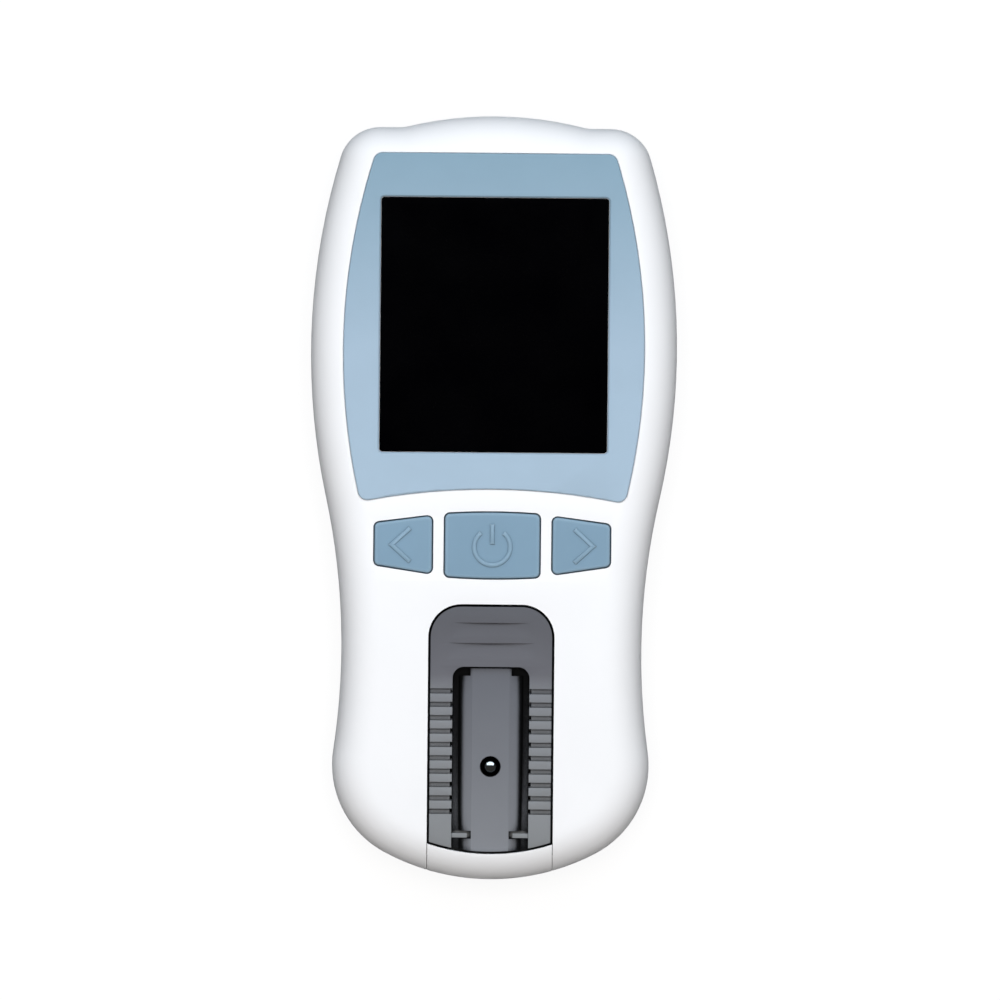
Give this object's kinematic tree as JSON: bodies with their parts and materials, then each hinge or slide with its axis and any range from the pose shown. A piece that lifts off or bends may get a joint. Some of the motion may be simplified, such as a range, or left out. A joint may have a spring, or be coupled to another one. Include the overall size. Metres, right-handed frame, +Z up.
{
  "type": "hemoglobin meter",
  "caption": "Hand-held strip-reading blood meter with a display, keys and a sliding strip tray in a waisted white case.",
  "frame": {"origin": "centre of the case in plan, on the surface that the feet rest on", "axes": "+Z up out of the face, +Y along the meter towards the display end, +X across it to the right as seen from above"},
  "size_m": [0.061, 0.1272, 0.025],
  "materials": {
    "case_white": "satin moulded shell",
    "panel_blue": "satin pale blue",
    "key_blue": "satin blue keys",
    "window_black": "polished dark window",
    "tray_grey": "fine matte grey",
    "bed_grey": "fine matte grey",
    "guide_black": "matte black moulding",
    "lens_glass": "polished dome",
    "display_glass": "display glass",
    "backlight_white": "moulded frame",
    "foam": "closed cell foam",
    "board_green": "solder mask",
    "chip_black": "moulded package",
    "crystal_can": "stamped can",
    "steel": "plated steel",
    "dome_steel": "spring steel",
    "cell_jacket": "printed foil without words",
    "socket_black": "moulded holder",
    "chip_shell": "moulded plug",
    "flex_amber": "flexible circuit",
    "lamp_clear": "clear lamp",
    "rubber_grey": "soft pads",
    "label_silver": "blank plate"
  },
  "bodies": {
    "case": {"top_shell": "case_white", "bottom_shell": "case_white", "display_panel": "panel_blue", "display_window": "window_black", "display_gasket": "foam", "display_glass": "display_glass", "display_backlight": "backlight_white", "key_domes": "dome_steel", "main_board": "board_green", "main_processor": "chip_black", "memory_chip": "chip_black", "clock_crystal": "crystal_can", "buzzer": "chip_black", "usb_socket": "steel", "chip_socket": "socket_black", "battery_contacts": "steel", "battery_springs": "steel", "tray_guide": "guide_black", "reader_board": "board_green", "reader_barrel": "guide_black", "reader_lens": "lens_glass", "reader_lamps": "lamp_clear", "reader_ribbon": "flex_amber", "case_screws": "steel", "board_screws": "steel", "guide_screws": "steel", "rubber_feet": "rubber_grey", "rear_label": "label_silver", "battery_left": "cell_jacket", "battery_middle": "cell_jacket", "battery_right": "cell_jacket"},
    "tray": {"strip_tray": "tray_grey", "strip_bed": "bed_grey", "tray_front": "case_white"},
    "left_key": {"key_left": "key_blue"},
    "power_key": {"key_power": "key_blue"},
    "right_key": {"key_right": "key_blue"},
    "cover": {"battery_cover": "case_white"},
    "chip": {"code_chip": "chip_shell"}
  },
  "joints": [
    {"name": "tray_slide", "type": "slide", "parent": "case", "child": "tray", "axis": [0, -1, 0], "range_m": [0, 0.042]},
    {"name": "left_key_press", "type": "slide", "parent": "case", "child": "left_key", "axis": [0, 0, -1], "range_m": [0, 0.0006], "stiffness_N_per_m": 400, "springref_m": -0.002},
    {"name": "power_key_press", "type": "slide", "parent": "case", "child": "power_key", "axis": [0, 0, -1], "range_m": [0, 0.0006], "stiffness_N_per_m": 400, "springref_m": -0.002},
    {"name": "right_key_press", "type": "slide", "parent": "case", "child": "right_key", "axis": [0, 0, -1], "range_m": [0, 0.0006], "stiffness_N_per_m": 400, "springref_m": -0.002},
    {"name": "cover_hinge", "type": "hinge", "parent": "case", "child": "cover", "pos_m": [0, 0.0431, 0.0006], "axis": [1, 0, 0], "range_deg": [0, 70]},
    {"name": "chip_slide", "type": "slide", "parent": "case", "child": "chip", "axis": [0, 1, 0], "range_m": [0, 0.017]}
  ]
}
